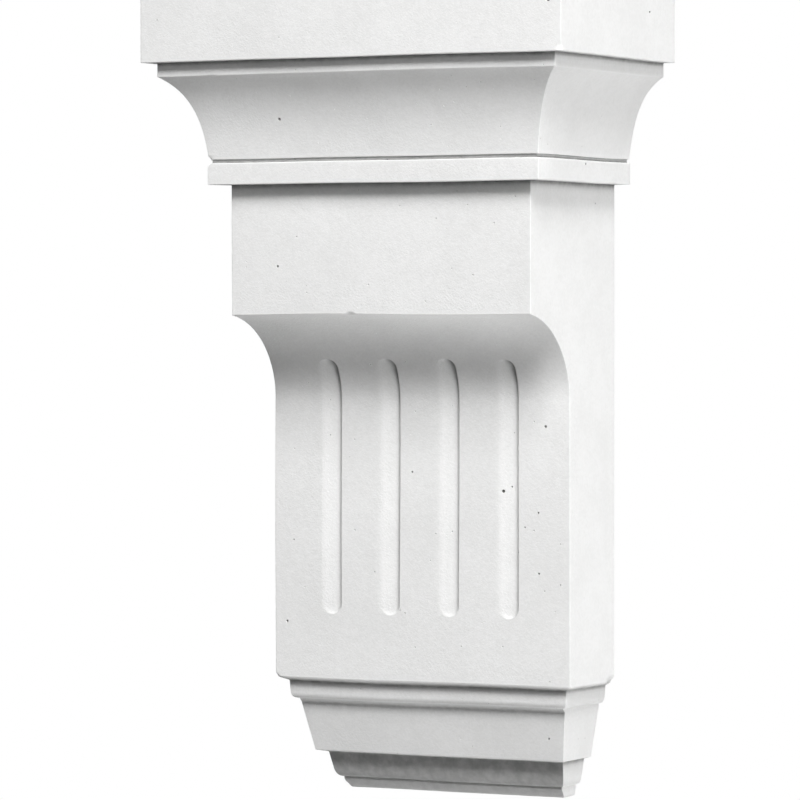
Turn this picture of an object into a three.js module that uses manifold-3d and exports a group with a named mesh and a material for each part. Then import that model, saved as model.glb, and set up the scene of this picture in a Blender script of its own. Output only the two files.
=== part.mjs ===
// Fluted corbel: a cast bracket with a moulded cap, a plain block, a fluted shaft and a stepped foot.
// Millimetres. X runs across the face, the wall is the plane Y = 0, the face looks along -Y and Z is up.
// The origin is the middle of the flat back, where the corbel is fixed.

import * as THREE from 'three';
import { mergeVertices } from 'three/addons/utils/BufferGeometryUtils.js';
import Module from 'manifold-3d';

// Block and shaft
const blockWidth = 127;
const blockDepth = 71;
const blockHeight = 49.5;
const shaftDepth = 38;
const shaftHeight = 139.4;

// Throat: a narrow flat underside behind the block's lower arris, then a hollow curve to the face of the shaft
const throatSetback = 1.5;
const throatDrop = 32;
const throatLean = THREE.MathUtils.degToRad(11);

// Cap mouldings, from the top down. Each stands out from the block by the same amount on all three sides
const abacusHeight = 26;
const abacusProjection = 25.2;
const filletHeight = 5.2;
const filletProjection = 20.6;
const coveHeight = 31;
const coveFootProjection = 6.3;
const quirkHeight = 1.3;
const quirkDepth = 1;
const bandHeight = 8.2;
const bandProjection = 6.6;

// The cove leaves the fillet at a slope and comes down on its foot almost upright
const coveHeadSlope = THREE.MathUtils.degToRad(31);
const coveHeadPull = 9;
const coveFootSlope = THREE.MathUtils.degToRad(6);
const coveFootPull = 18.3;

// Foot mouldings, from the top down: a bead, a fascia, a recessed band and a toe. Each one's step is how far
// its top sits back from what is above it, and its taper is how much further back its foot is. The face steps
// back further than the sides. The undersides between them slope down a little
const upperSoffitDrop = 1.5;
const lowerSoffitDrop = 0.9;
const beadHeight = 7;
const beadRound = 2.4;
const beadFaceStep = 4.3;
const beadSideStep = 3.6;
const beadFaceTaper = 0.3;
const beadSideTaper = 0.6;
const fasciaHeight = 19;
const fasciaFaceStep = 4;
const fasciaSideStep = 2.3;
const fasciaFaceTaper = 5.4;
const fasciaSideTaper = 3.3;
const recessHeight = 10;
const recessRound = 3.4;
const recessFaceStep = 5.4;
const recessSideStep = 2.9;
const recessFaceTaper = 3.4;
const recessSideTaper = 1.5;
const toeHeight = 3.7;
const toeRound = 1.6;
const toeFaceStep = 2.7;
const toeSideStep = 2;
const toeFaceTaper = 3.4;
const toeSideTaper = 0.5;

// Flutes: round-bottomed and round-ended, spaced so that the margins equal the pitch
const fluteCount = 4;
const fluteWidth = 7.6;
const fluteDepth = 1.4;
const fluteHead = 16.2;
const fluteFoot = 25;

// Facets
const arcSegments = 10;
const fluteSides = 24;
const fluteSteps = 26;

// How far a cutting solid runs past the solid that it cuts, and how near two corners are to count as one
const overrun = 5;
const weldDistance = 1e-4;

const wasm = await Module();
wasm.setup();

const footMouldings = [
  {
    drop: upperSoffitDrop,
    height: beadHeight,
    round: beadRound,
    face: { step: beadFaceStep, taper: beadFaceTaper },
    side: { step: beadSideStep, taper: beadSideTaper },
  },
  {
    drop: upperSoffitDrop,
    height: fasciaHeight,
    round: 0,
    face: { step: fasciaFaceStep, taper: fasciaFaceTaper },
    side: { step: fasciaSideStep, taper: fasciaSideTaper },
  },
  {
    drop: lowerSoffitDrop,
    height: recessHeight,
    round: recessRound,
    face: { step: recessFaceStep, taper: recessFaceTaper },
    side: { step: recessSideStep, taper: recessSideTaper },
  },
  {
    drop: lowerSoffitDrop,
    height: toeHeight,
    round: toeRound,
    face: { step: toeFaceStep, taper: toeFaceTaper },
    side: { step: toeSideStep, taper: toeSideTaper },
  },
];

// Levels, worked out from the heights
const capHeight = abacusHeight + filletHeight + coveHeight + quirkHeight + bandHeight;
const footHeight = footMouldings.reduce((sum, moulding) => sum + moulding.drop + moulding.height, 0);
const totalHeight = capHeight + blockHeight + shaftHeight + footHeight;
const topLevel = totalHeight / 2;
const blockFootLevel = topLevel - capHeight - blockHeight;
const throatFootLevel = blockFootLevel - throatDrop;
const shaftFootLevel = blockFootLevel - shaftHeight;
const bottomLevel = -totalHeight / 2;

// A closed mesh as a solid that can be cut and joined
function solidOf(geometry) {
  geometry.deleteAttribute('normal');
  geometry.deleteAttribute('uv');
  const merged = mergeVertices(geometry, weldDistance);
  const mesh = new wasm.Mesh({
    numProp: 3,
    vertProperties: new Float32Array(merged.attributes.position.array),
    triVerts: new Uint32Array(merged.index.array),
  });
  return new wasm.Manifold(mesh);
}

function geometryOf(solid) {
  const mesh = solid.getMesh();
  const geometry = new THREE.BufferGeometry();
  geometry.setAttribute('position', new THREE.BufferAttribute(new Float32Array(mesh.vertProperties), 3));
  geometry.setIndex(new THREE.BufferAttribute(new Uint32Array(mesh.triVerts), 1));
  geometry.computeVertexNormals();
  return geometry;
}

// A point of the throat, lifted off the surface towards the hollow. The throat is a quarter of an ellipse
// less its first few degrees, stretched so that it still starts on the flat underside
function throatPoint(angle, lift) {
  const run = (blockDepth - throatSetback - shaftDepth) / (1 - Math.sin(throatLean));
  const drop = throatDrop / Math.cos(throatLean);
  const across = run * Math.sin(angle);
  const along = drop * Math.cos(angle);
  const inward = new THREE.Vector2(across / (run * run), along / (drop * drop)).normalize();
  const projection = shaftDepth + run - across + lift * inward.x;
  const level = throatFootLevel + along - lift * inward.y;
  return new THREE.Vector2(projection, level);
}

// The cap's outline, drawn down from the top, standing out from the plane of the block
function drawCap(path, block) {
  const abacusFoot = topLevel - abacusHeight;
  const filletFoot = abacusFoot - filletHeight;
  const coveFoot = filletFoot - coveHeight;
  const quirkFoot = coveFoot - quirkHeight;
  const bandFoot = quirkFoot - bandHeight;
  path.moveTo(block + abacusProjection, topLevel);
  path.lineTo(block + abacusProjection, abacusFoot);
  path.lineTo(block + filletProjection, abacusFoot);
  path.lineTo(block + filletProjection, filletFoot);
  path.bezierCurveTo(
    block + filletProjection - coveHeadPull * Math.cos(coveHeadSlope),
    filletFoot - coveHeadPull * Math.sin(coveHeadSlope),
    block + coveFootProjection + coveFootPull * Math.sin(coveFootSlope),
    coveFoot + coveFootPull * Math.cos(coveFootSlope),
    block + coveFootProjection,
    coveFoot,
  );
  path.lineTo(block + coveFootProjection - quirkDepth, coveFoot);
  path.lineTo(block + coveFootProjection - quirkDepth, quirkFoot);
  path.lineTo(block + bandProjection, quirkFoot);
  path.lineTo(block + bandProjection, bandFoot);
  path.lineTo(block, bandFoot);
}

// The foot's outline, drawn down from the shaft, stepping back from the plane of the shaft. A rounded lower
// arris goes no further in than the next step
function drawFoot(path, shaft, view) {
  let level = shaftFootLevel;
  let plane = shaft;
  for (const [index, moulding] of footMouldings.entries()) {
    const { step, taper } = moulding[view];
    const next = footMouldings[index + 1];
    plane -= step;
    level -= moulding.drop;
    path.lineTo(plane, level);
    plane -= taper;
    level -= moulding.height;
    if (moulding.round > 0) {
      const lean = taper * moulding.round / moulding.height;
      const reach = next ? Math.min(moulding.round, next[view].step) : moulding.round;
      path.lineTo(plane + lean, level + moulding.round);
      path.quadraticCurveTo(plane, level, plane - reach, level);
    } else {
      path.lineTo(plane, level);
    }
  }
}

// Half the face's outline: half width against height
function sideOutline() {
  const path = new THREE.Path();
  drawCap(path, blockWidth / 2);
  path.lineTo(blockWidth / 2, blockFootLevel);
  path.lineTo(blockWidth / 2, shaftFootLevel);
  drawFoot(path, blockWidth / 2, 'side');
  return path.getPoints(arcSegments);
}

// The profile seen from the side: depth in front of the wall against height
function frontOutline() {
  const path = new THREE.Path();
  drawCap(path, blockDepth);
  path.lineTo(blockDepth, blockFootLevel);
  for (let step = 0; step <= arcSegments; step += 1) {
    const angle = THREE.MathUtils.lerp(throatLean, Math.PI / 2, step / arcSegments);
    const point = throatPoint(angle, 0);
    path.lineTo(point.x, point.y);
  }
  path.lineTo(shaftDepth, shaftFootLevel);
  drawFoot(path, shaftDepth, 'face');
  return path.getPoints(arcSegments);
}

// The side profile, drawn out across the face
function profileSolid() {
  const outline = frontOutline();
  const shape = new THREE.Shape([
    new THREE.Vector2(0, topLevel),
    ...outline,
    new THREE.Vector2(0, outline.at(-1).y),
  ]);
  const width = blockWidth + 2 * (abacusProjection + overrun);
  const geometry = new THREE.ExtrudeGeometry(shape, { depth: width, bevelEnabled: false });
  geometry.applyMatrix4(new THREE.Matrix4().makeBasis(
    new THREE.Vector3(0, -1, 0),
    new THREE.Vector3(0, 0, 1),
    new THREE.Vector3(-1, 0, 0),
  ));
  geometry.translate(width / 2, 0, 0);
  return solidOf(geometry);
}

// The face's outline, drawn out from behind the wall plane to in front of the cap. Where it meets the side
// profile, every moulding turns the corner on its mitre
function faceSolid() {
  const half = sideOutline();
  half.unshift(new THREE.Vector2(half[0].x, topLevel + overrun));
  half.push(new THREE.Vector2(half.at(-1).x, bottomLevel - overrun));
  const mirrored = half.map((point) => new THREE.Vector2(-point.x, point.y)).reverse();
  const shape = new THREE.Shape([...half, ...mirrored]);
  const depth = blockDepth + abacusProjection + 2 * overrun;
  const geometry = new THREE.ExtrudeGeometry(shape, { depth, bevelEnabled: false });
  geometry.applyMatrix4(new THREE.Matrix4().makeBasis(
    new THREE.Vector3(1, 0, 0),
    new THREE.Vector3(0, 0, 1),
    new THREE.Vector3(0, -1, 0),
  ));
  geometry.translate(0, overrun, 0);
  return solidOf(geometry);
}

// The line that a flute's gouge follows: down the throat, then straight down the shaft
class GougeLine extends THREE.Curve {
  constructor(headAngle, footLevel, lift) {
    super();
    this.headAngle = headAngle;
    this.footLevel = footLevel;
    this.lift = lift;
    const bend = (Math.PI / 2 - headAngle) * throatDrop;
    this.bendShare = bend / (bend + throatFootLevel - footLevel);
  }

  getPoint(t, target = new THREE.Vector3()) {
    if (t < this.bendShare) {
      const angle = THREE.MathUtils.lerp(this.headAngle, Math.PI / 2, t / this.bendShare);
      const point = throatPoint(angle, this.lift);
      return target.set(0, -point.x, point.y);
    }
    const share = (t - this.bendShare) / (1 - this.bendShare);
    const level = THREE.MathUtils.lerp(throatFootLevel, this.footLevel, share);
    return target.set(0, -shaftDepth - this.lift, level);
  }
}

// A flute's gouge: a round bar along that line with a ball at each end. Its radius gives the flute its width
// and depth
function gougeSolid() {
  const radius = (fluteWidth * fluteWidth / 4 + fluteDepth * fluteDepth) / (2 * fluteDepth);
  const lift = radius - fluteDepth;
  const headFall = fluteHead + fluteWidth / 2;
  const headAngle = Math.acos((throatDrop - headFall) * Math.cos(throatLean) / throatDrop);
  const line = new GougeLine(headAngle, shaftFootLevel + fluteFoot + fluteWidth / 2, lift);

  const section = new THREE.Shape().absarc(0, 0, radius, 0, 2 * Math.PI);
  let gouge = solidOf(new THREE.ExtrudeGeometry(section, {
    extrudePath: line,
    steps: fluteSteps,
    curveSegments: fluteSides / 2,
    bevelEnabled: false,
  }));
  for (const end of [0, 1]) {
    const ball = new THREE.SphereGeometry(radius, fluteSides, fluteSides / 2);
    const turn = new THREE.Quaternion().setFromUnitVectors(new THREE.Vector3(0, 1, 0), line.getTangent(end));
    const centre = line.getPoint(end);
    ball.applyQuaternion(turn);
    ball.translate(centre.x, centre.y, centre.z);
    gouge = gouge.add(solidOf(ball));
  }
  return gouge;
}

// The whole casting
function corbelSolid() {
  let corbel = profileSolid().intersect(faceSolid());
  const gouge = gougeSolid();
  const pitch = blockWidth / (fluteCount + 1);
  for (let flute = 1; flute <= fluteCount; flute += 1) {
    corbel = corbel.subtract(gouge.translate([flute * pitch - blockWidth / 2, 0, 0]));
  }
  return corbel;
}

const plaster = new THREE.MeshStandardMaterial({
  color: 0xe9e8e5,
  roughness: 0.78,
  metalness: 0,
  flatShading: true,
});

const corbel = new THREE.Mesh(geometryOf(corbelSolid()), plaster);
corbel.name = 'corbel';

const part = new THREE.Group();
part.add(corbel);

export default part;
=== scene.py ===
# Fluted corbel: a plaster casting with soft arrises, flutes, pinholes and small knocks, in a white studio.
# Metres. X runs across the face, the wall is the plane Y = 0, the face looks along -Y and Z is up.

import math

import bpy
import numpy as np
from mathutils import Euler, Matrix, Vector


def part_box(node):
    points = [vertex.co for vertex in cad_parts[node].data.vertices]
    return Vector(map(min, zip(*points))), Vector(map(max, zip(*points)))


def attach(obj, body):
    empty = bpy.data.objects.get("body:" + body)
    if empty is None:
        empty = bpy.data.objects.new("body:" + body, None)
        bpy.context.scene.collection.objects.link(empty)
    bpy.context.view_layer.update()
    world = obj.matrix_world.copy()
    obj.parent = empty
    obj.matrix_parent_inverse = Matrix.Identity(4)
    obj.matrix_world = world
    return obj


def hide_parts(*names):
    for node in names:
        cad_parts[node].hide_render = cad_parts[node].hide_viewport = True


bl_info = {
    "name": "Fluted corbel",
    "version": (1, 0, 0),
    "blender": (4, 5, 0),
    "location": "View3D > Sidebar > Corbel",
    "description": "A cast plaster corbel with a coved cap and a fluted shaft, and a white studio for it",
    "category": "Add Mesh",
}

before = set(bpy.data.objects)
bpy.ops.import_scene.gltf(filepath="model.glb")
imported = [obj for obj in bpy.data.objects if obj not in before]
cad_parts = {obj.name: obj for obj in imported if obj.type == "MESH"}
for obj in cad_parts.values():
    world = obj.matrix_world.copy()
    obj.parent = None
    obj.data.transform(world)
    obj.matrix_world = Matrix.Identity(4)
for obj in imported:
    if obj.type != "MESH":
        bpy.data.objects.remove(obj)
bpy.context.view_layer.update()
cad_low, cad_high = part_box("corbel")

PIECE_NAME = "corbel_casting"


# Properties

def settings(kind, rows, **more):
    """Properties from each one's description and default. A label is the property's own name in plain words."""
    return {
        name: kind(name=name.replace("_", " ").capitalize(), description=text, default=value, **more)
        for name, (text, value) in rows.items()
    }


def lengths(**rows):
    """Lengths in metres, shown in the scene's own units."""
    return settings(bpy.props.FloatProperty, rows, precision=4, unit="LENGTH")


def angles(**rows):
    """Angles, given here in degrees and kept in radians."""
    rows = {name: (text, math.radians(value)) for name, (text, value) in rows.items()}
    return settings(bpy.props.FloatProperty, rows, unit="ROTATION")


def numbers(**rows):
    """Plain numbers without a unit."""
    return settings(bpy.props.FloatProperty, rows, precision=3)


def colours(**rows):
    """Colours in linear red, green and blue."""
    return settings(bpy.props.FloatVectorProperty, rows, subtype="COLOR", size=3, min=0.0, max=1.0)


def foot_steps(**mouldings):
    """Lengths for each moulding: its steps back on the face and on the sides, then its tapers on both."""
    kinds = [
        (f"{kind}_{way}", f"{words} of the {{}} on the {kind}")
        for way, words in (("step", "Step back"), ("taper", "Taper"))
        for kind in ("face", "side")
    ]
    return lengths(**{
        f"{moulding}_{name}": (text.format(moulding), value)
        for moulding, values in mouldings.items()
        for (name, text), value in zip(kinds, values)
    })


class CapSizes(bpy.types.PropertyGroup):
    """The cap's mouldings, from the top down. Each stands out from the block alike on all three sides."""

    __annotations__ = lengths(
        abacus_height=("Height of the top slab", 0.026),
        abacus_projection=("How far the top slab stands out from the block", 0.0252),
        fillet_height=("Height of the fillet under the slab", 0.0052),
        fillet_projection=("How far the fillet stands out from the block", 0.0206),
        cove_height=("Height of the hollow moulding", 0.031),
        cove_foot_projection=("How far the cove's foot stands out", 0.0063),
        cove_head_pull=("How long the cove keeps its first direction", 0.009),
        cove_foot_pull=("How long the cove keeps its last direction", 0.0183),
        quirk_height=("Height of the narrow groove over the band", 0.0013),
        quirk_depth=("How far the groove is sunk behind the cove's foot", 0.001),
        band_height=("Height of the band under the groove", 0.0082),
        band_projection=("How far the band stands out from the block", 0.0066),
    ) | angles(
        cove_head_slope=("Fall of the cove where it leaves the fillet", 31),
        cove_foot_slope=("Lean of the cove where it comes down", 6),
    )


class ShaftSizes(bpy.types.PropertyGroup):
    """The block, the throat under it, the shaft and its flutes."""

    __annotations__ = lengths(
        block_height=("Height of the plain block", 0.0495),
        shaft_depth=("How far the shaft stands out from the wall", 0.038),
        shaft_height=("From the block's lower arris to the foot mouldings", 0.1394),
        throat_setback=("Depth of the flat underside behind the block's lower arris", 0.0015),
        throat_fall=("How much lower that underside is at its back", 0.0003),
        throat_drop=("Height of the hollow curve under the block", 0.032),
        flute_width=("Width of a flute at the surface", 0.0076),
        flute_depth=("Depth of a flute near its right edge", 0.00125),
        flute_head=("From the block's lower arris down to the flutes' tips", 0.0162),
        flute_foot=("From the shaft's foot up to the flutes' tips", 0.025),
        flute_arris=("Softness of the flutes' edges", 0.0004),
    ) | angles(
        throat_lean=("The part of the quarter ellipse left off at its top", 11),
    ) | numbers(
        flute_fullness=("How flat a flute's bottom is: 2 is a round one", 6.0),
        flute_tilt=("Share of the depth that a flute lacks along its left edge", 0.9),
    ) | settings(bpy.props.IntProperty, {"flute_count": ("Number of flutes", 4)}, min=1)


class FootSizes(bpy.types.PropertyGroup):
    """The foot's mouldings, from the top down. A step is how far a moulding's top sits back from what is above
    it, and a taper how much further back its foot is."""

    __annotations__ = lengths(
        upper_soffit_drop=("Fall of the undersides above the bead and fascia", 0.0015),
        lower_soffit_drop=("Fall of the undersides above the recess and toe", 0.0009),
        bead_height=("Height of the bead", 0.007),
        bead_round=("Rounding of the bead's lower arris", 0.0024),
        fascia_height=("Height of the fascia", 0.019),
        recess_height=("Height of the recessed band", 0.01),
        recess_round=("Rounding of the recessed band's lower arris", 0.0034),
        toe_round=("Rounding of the toe's lower arris", 0.0016),
    ) | foot_steps(
        bead=(0.0043, 0.0036, 0.0003, 0.0006),
        fascia=(0.004, 0.0023, 0.0054, 0.0033),
        recess=(0.0054, 0.0029, 0.0034, 0.0015),
        toe=(0.0027, 0.002, 0.0034, 0.0005),
    )


class CastingSizes(bpy.types.PropertyGroup):
    """How softly the casting came out of its mould, and its faults."""

    __annotations__ = lengths(
        arris_round=("Rounding of the outer arrises", 0.0003),
        hollow_round=("Rounding of the inner corners", 0.0003),
        fine_round=("Rounding of the groove's small arrises", 0.0003),
        corner_round=("Rounding of the upright arrises at the front", 0.0002),
        back_round=("Rounding of the arrises against the wall", 0.0006),
        swell=("How far the surfaces wander from true", 0.0001),
        pinhole_width=("Width of the largest pinholes", 0.0012),
        pinhole_depth=("Depth of the largest pinholes", 0.001),
    )


class PlasterFinish(bpy.types.PropertyGroup):
    """Colours and textures of the plaster."""

    __annotations__ = colours(
        pale=("Colour of the plaster at its lightest", (0.93, 0.93, 0.925)),
        deep=("Colour of the plaster at its darkest", (0.87, 0.87, 0.863)),
        # Painted shade: the dark colour mixed in at inner corners, under ledges, down the recess and toe, at
        # the flutes' heads and in pinholes and pores
        dust=("Colour of the dust in hollows and pinholes", (0.2, 0.2, 0.197)),
        # Painted highlight: the light colour along the arrises and the flutes' edges
        rubbed=("Colour of the arrises where they are rubbed", (0.99, 0.99, 0.985)),
    ) | lengths(
        mottle_size=("Size of the cloudy patches", 0.022),
        # These patches break up the painted highlight and the painted shade
        wear_size=("Size of the patches in the rubbing and the dust", 0.004),
        grain_size=("Size of the plaster's grain", 0.0009),
        grain_depth=("Relief of the plaster's grain", 0.0001),
        pore_size=("Spacing of the tiny open pores", 0.0022),
    ) | numbers(
        roughness=("Roughness of the cast faces", 0.72),
        back_roughness=("Roughness of the screeded back", 0.86),
    )


class StudioSettings(bpy.types.PropertyGroup):
    """The camera, the lights and the floor."""

    __annotations__ = angles(
        camera_turn=("How far the camera stands round to the right of the face", 28.42),
        camera_fall=("How far the camera looks down", 0.893),
    ) | lengths(
        camera_distance=("From the corbel's middle to the camera", 1.8888),
        camera_slide=("How far the camera stands to its right", -0.0258),
        camera_height=("Height of the camera over the corbel's middle", 0.02805),
        floor_level=("Height of the floor under the corbel's middle", -1.5),
        floor_span=("Width of the floor", 6.0),
    ) | numbers(
        camera_lens=("Focal length in millimetres", 219.95),
        lamp_strength=("Share of the lamps' listed powers", 1.0),
        room_strength=("Light from the room all round", 0.01),
        floor_glow=("Light that the floor gives off, so that it stays pale where no lamp aims", 0.7),
    ) | colours(
        floor_pale=("Colour of the floor at its lightest", (0.84, 0.84, 0.84)),
        floor_deep=("Colour of the floor at its darkest", (0.78, 0.78, 0.78)),
    )


# The outline, drawn from the top down

def station(half_width, depth, setback, level):
    """A point of the outline: the plan's half width, its face's depth, its back edge's setback, its height."""
    return np.array([half_width, depth, setback, level])


def bezier(controls):
    """A Bezier run: each control point counts by the binomial terms of the share and of what is left of it."""
    order = len(controls) - 1

    def path(share):
        share = np.atleast_1d(share)
        terms = [math.comb(order, k) * share**k * (1 - share) ** (order - k) for k in range(order + 1)]
        return np.stack(terms, axis=1) @ np.array(controls)

    return path


def reach_of(path):
    """The length of a run as the face's outline shows it: the sum of its short chords."""
    points = path(np.linspace(0.0, 1.0, 400))
    return float(np.hypot(np.diff(points[:, 1]), np.diff(points[:, 3])).sum())


def graded(cells, crowding):
    """Shares from 0 to 1 that crowd towards both ends: an even share less a sine of one full turn."""
    share = np.linspace(0.0, 1.0, cells + 1)
    return share - crowding * np.sin(2 * np.pi * share) / (2 * np.pi)


def bell(away, spread):
    """One at the middle, falling off as the exponential of minus the square of the distance over the spread."""
    return np.exp(-((away / spread) ** 2))


class Outline:
    """Runs from the top edge to the bottom one, with a rounded corner between each two. A corner is a parabola
    that leaves one run and meets the next a rounding away from where they cross. Each row also has a distance
    down the outline, and two masks for the face and two for the sides, that say how near it is to an outer
    arris, where a highlight is painted, and to an inner corner, where shade is painted. The painted shade
    reaches from an inner corner across most of the underside before it, and down what follows by a third of
    that or, on the face, by the reach that the run is given."""

    corner_cells = 4
    crowding = 0.7
    arris_spread = 0.0007
    # How far the painted shade reaches at most from an inner corner
    shade_reach = 0.004
    share_behind = 0.6
    share_ahead = 0.35

    def __init__(self, start):
        self.end = start
        self.runs = []

    def add(self, path, cells=None, rounding=0.0, distances=None, dust=0.0):
        """Adds a run, with its number of cells or its rows' distances, the rounding of its first corner and
        how far the painted shade reaches down it."""
        reach = reach_of(path)
        shares = None if distances is None else distances / reach
        self.runs.append({
            "path": path, "reach": reach, "cells": cells, "shares": shares, "rounding": rounding, "dust": dust,
        })
        self.end = path(1.0)[0]

    def line_to(self, point, cells, rounding, dust=0.0):
        """Adds a straight run to a point: the start plus a share of the way to the end."""
        start = self.end
        self.add(lambda share: start + np.outer(share, point - start), cells, rounding, None, dust)

    def corner(self, run, following, leave):
        """The middle points of a rounded corner, and for the sides and the face how it turns and how far its
        painted shade reaches back and ahead."""
        knee = run["path"](1.0)[0]
        meet = following["path"](following["rounding"] / following["reach"])[0]
        before, after = knee - leave, meet - knee
        back = min(self.share_behind * run["reach"], self.shade_reach)
        turns = []
        for side, out in ((0, 1), (1, 0)):
            turn = before[out] * after[3] - before[3] * after[out]
            turn /= np.hypot(before[out], before[3]) * np.hypot(after[out], after[3]) + 1e-12
            turns.append((side, turn, back, max(self.share_ahead * back, 0.0 if side else following["dust"])))
        bend = np.linspace(0.0, 1.0, self.corner_cells + 1)[1:-1]
        return bend, bezier([leave, knee, meet])(bend), turns

    def rows(self):
        """All rows, as arrays of distance, point, arris masks and hollow masks."""
        distances, points, corners = [], [], []
        begun = 0.0
        for index, run in enumerate(self.runs):
            following = self.runs[index + 1] if index + 1 < len(self.runs) else None
            rounding = following["rounding"] if following else 0.0
            first, last = run["rounding"] / run["reach"], 1.0 - rounding / run["reach"]
            if run["shares"] is None:
                shares = first + (last - first) * graded(run["cells"], self.crowding)
            else:
                inner = run["shares"][(run["shares"] > first + 1e-4) & (run["shares"] < last - 1e-4)]
                shares = np.concatenate([[first], inner, [last]])
            if index and not run["rounding"]:
                shares = shares[1:]
            distances.append(begun + shares * run["reach"])
            points.append(run["path"](shares))
            begun += run["reach"]
            if rounding:
                bend, middle, turns = self.corner(run, following, points[-1][-1])
                distances.append(begun - rounding + 2 * rounding * bend)
                points.append(middle)
                corners += [(begun, *turn) for turn in turns]
        distances = np.concatenate(distances)
        arris, hollow = np.zeros((2, 2, len(distances)))
        # Inner corners get the painted shade's mask, outer arrises the painted highlight's
        for place, side, turn, back, ahead in corners:
            away = distances - place
            if turn < 0:
                arris[side] = np.maximum(arris[side], -turn * bell(away, self.arris_spread))
            else:
                hollow[side] = np.maximum(hollow[side], turn * bell(away, np.where(away < 0, back, ahead)))
        return distances, np.concatenate(points), arris, hollow


class Levels:
    """Heights and depths worked out from the named sizes and the frame's box."""

    def __init__(self, cap, shaft):
        self.top = cad_high.z
        self.bottom = cad_low.z
        self.block_half = cad_high.x - cap.abacus_projection
        self.block_depth = -cad_low.y - cap.abacus_projection
        self.abacus_foot = self.top - cap.abacus_height
        self.fillet_foot = self.abacus_foot - cap.fillet_height
        self.cove_foot = self.fillet_foot - cap.cove_height
        self.quirk_foot = self.cove_foot - cap.quirk_height
        self.band_foot = self.quirk_foot - cap.band_height
        self.block_foot = self.band_foot - shaft.block_height
        self.throat_foot = self.block_foot - shaft.throat_drop
        self.shaft_foot = self.block_foot - shaft.shaft_height

    def out(self, projection, level, setback=0.0):
        """The outline's point that stands out from the block by the projection on all three sides."""
        return station(self.block_half + projection, self.block_depth + projection, setback, level)


def draw_cap(outline, levels, cap, casting):
    """The abacus, fillet, cove, quirk and band, down to the block's face."""

    def draw(*lines):
        for projection, level, cells, rounding in lines:
            outline.line_to(levels.out(projection, level), cells, rounding)

    hard, soft, fine = casting.arris_round, casting.hollow_round, casting.fine_round
    draw(
        (cap.abacus_projection, levels.top, 3, 0.0),
        (cap.abacus_projection, levels.abacus_foot, 20, hard),
        (cap.fillet_projection, levels.abacus_foot, 5, hard),
        (cap.fillet_projection, levels.fillet_foot, 6, soft),
    )
    ends = []
    for projection, level, slope, pull in (
        (cap.fillet_projection, levels.fillet_foot, -cap.cove_head_slope, -cap.cove_head_pull),
        (cap.cove_foot_projection, levels.cove_foot, math.pi / 2 - cap.cove_foot_slope, cap.cove_foot_pull),
    ):
        ends.append(levels.out(projection, level))
        ends.append(levels.out(projection + pull * math.cos(slope), level + abs(pull) * math.sin(slope)))
    outline.add(bezier([ends[0], ends[1], ends[3], ends[2]]), 34, hard)
    quirk = cap.cove_foot_projection - cap.quirk_depth
    draw(
        (quirk, levels.cove_foot, 3, fine),
        (quirk, levels.quirk_foot, 2, fine),
        (cap.band_projection, levels.quirk_foot, 3, fine),
        (cap.band_projection, levels.band_foot, 9, hard),
        (0.0, levels.band_foot, 6, hard),
        (0.0, levels.block_foot, 28, soft),
    )


def throat_and_shaft(levels, shaft):
    """The face under the block as one run by distance: a quarter of an ellipse less its first few degrees,
    stretched so that it still starts on the flat underside, and then a straight fall to the shaft's foot."""
    run = (levels.block_depth - shaft.throat_setback - shaft.shaft_depth) / (1 - math.sin(shaft.throat_lean))
    drop = (shaft.throat_drop - shaft.throat_fall) / math.cos(shaft.throat_lean)
    turn = np.linspace(shaft.throat_lean, math.pi / 2, 600)
    depth = np.append(shaft.shaft_depth + run - run * np.sin(turn), shaft.shaft_depth)
    level = np.append(levels.throat_foot + drop * np.cos(turn), levels.shaft_foot)
    gone = np.concatenate([[0.0], np.cumsum(np.hypot(np.diff(depth), np.diff(level)))])

    def path(share):
        at = np.atleast_1d(share) * gone[-1]
        depths, heights = np.interp(at, gone, depth), np.interp(at, gone, level)
        return np.stack([np.full_like(at, levels.block_half), depths, np.zeros_like(at), heights], axis=1)

    return path, lambda height: float(np.interp(-height, -level, gone))


def draw_foot(outline, levels, foot, casting):
    """The bead, fascia, recess and toe, with each one's cells and how far the painted shade reaches down it. It
    reaches far down the recess and the toe, which are painted dark as if in shadow. A rounded lower arris goes
    no further in than the next step."""
    # Each moulding's cells and how far the painted shade reaches down it; the recess and toe are painted dark
    # as if in shadow
    mouldings = {"bead": (6, 0.001), "fascia": (18, 0.0025), "recess": (7, 0.02), "toe": (4, 0.01)}
    names = list(mouldings)
    point = outline.end
    for index, (name, (cells, dust)) in enumerate(mouldings.items()):

        def inward(kind, moulding=name):
            return np.array([getattr(foot, f"{moulding}_{side}_{kind}") for side in ("side", "face")])

        soffit_drop = foot.upper_soffit_drop if index < 2 else foot.lower_soffit_drop
        point = point - station(*inward("step"), 0.0, soffit_drop)
        outline.line_to(point, 5, casting.arris_round if name in ("bead", "recess") else 0.0)
        height = getattr(foot, name + "_height", point[3] - levels.bottom)
        rounding = getattr(foot, name + "_round", 0.0)
        taper = station(*inward("taper"), 0.0, height)
        toe = name == names[-1]
        first = casting.fine_round if toe else casting.hollow_round
        outline.line_to(point - taper * (1 - rounding / height), cells, first, dust)
        point = point - taper
        if rounding:
            reach = np.full(2, rounding) if toe else np.minimum(rounding, inward("step", names[index + 1]))
            far = point - station(*reach, -casting.back_round if toe else 0.0, 0.0)
            outline.add(bezier([outline.end, point, far]), 8)


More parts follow.
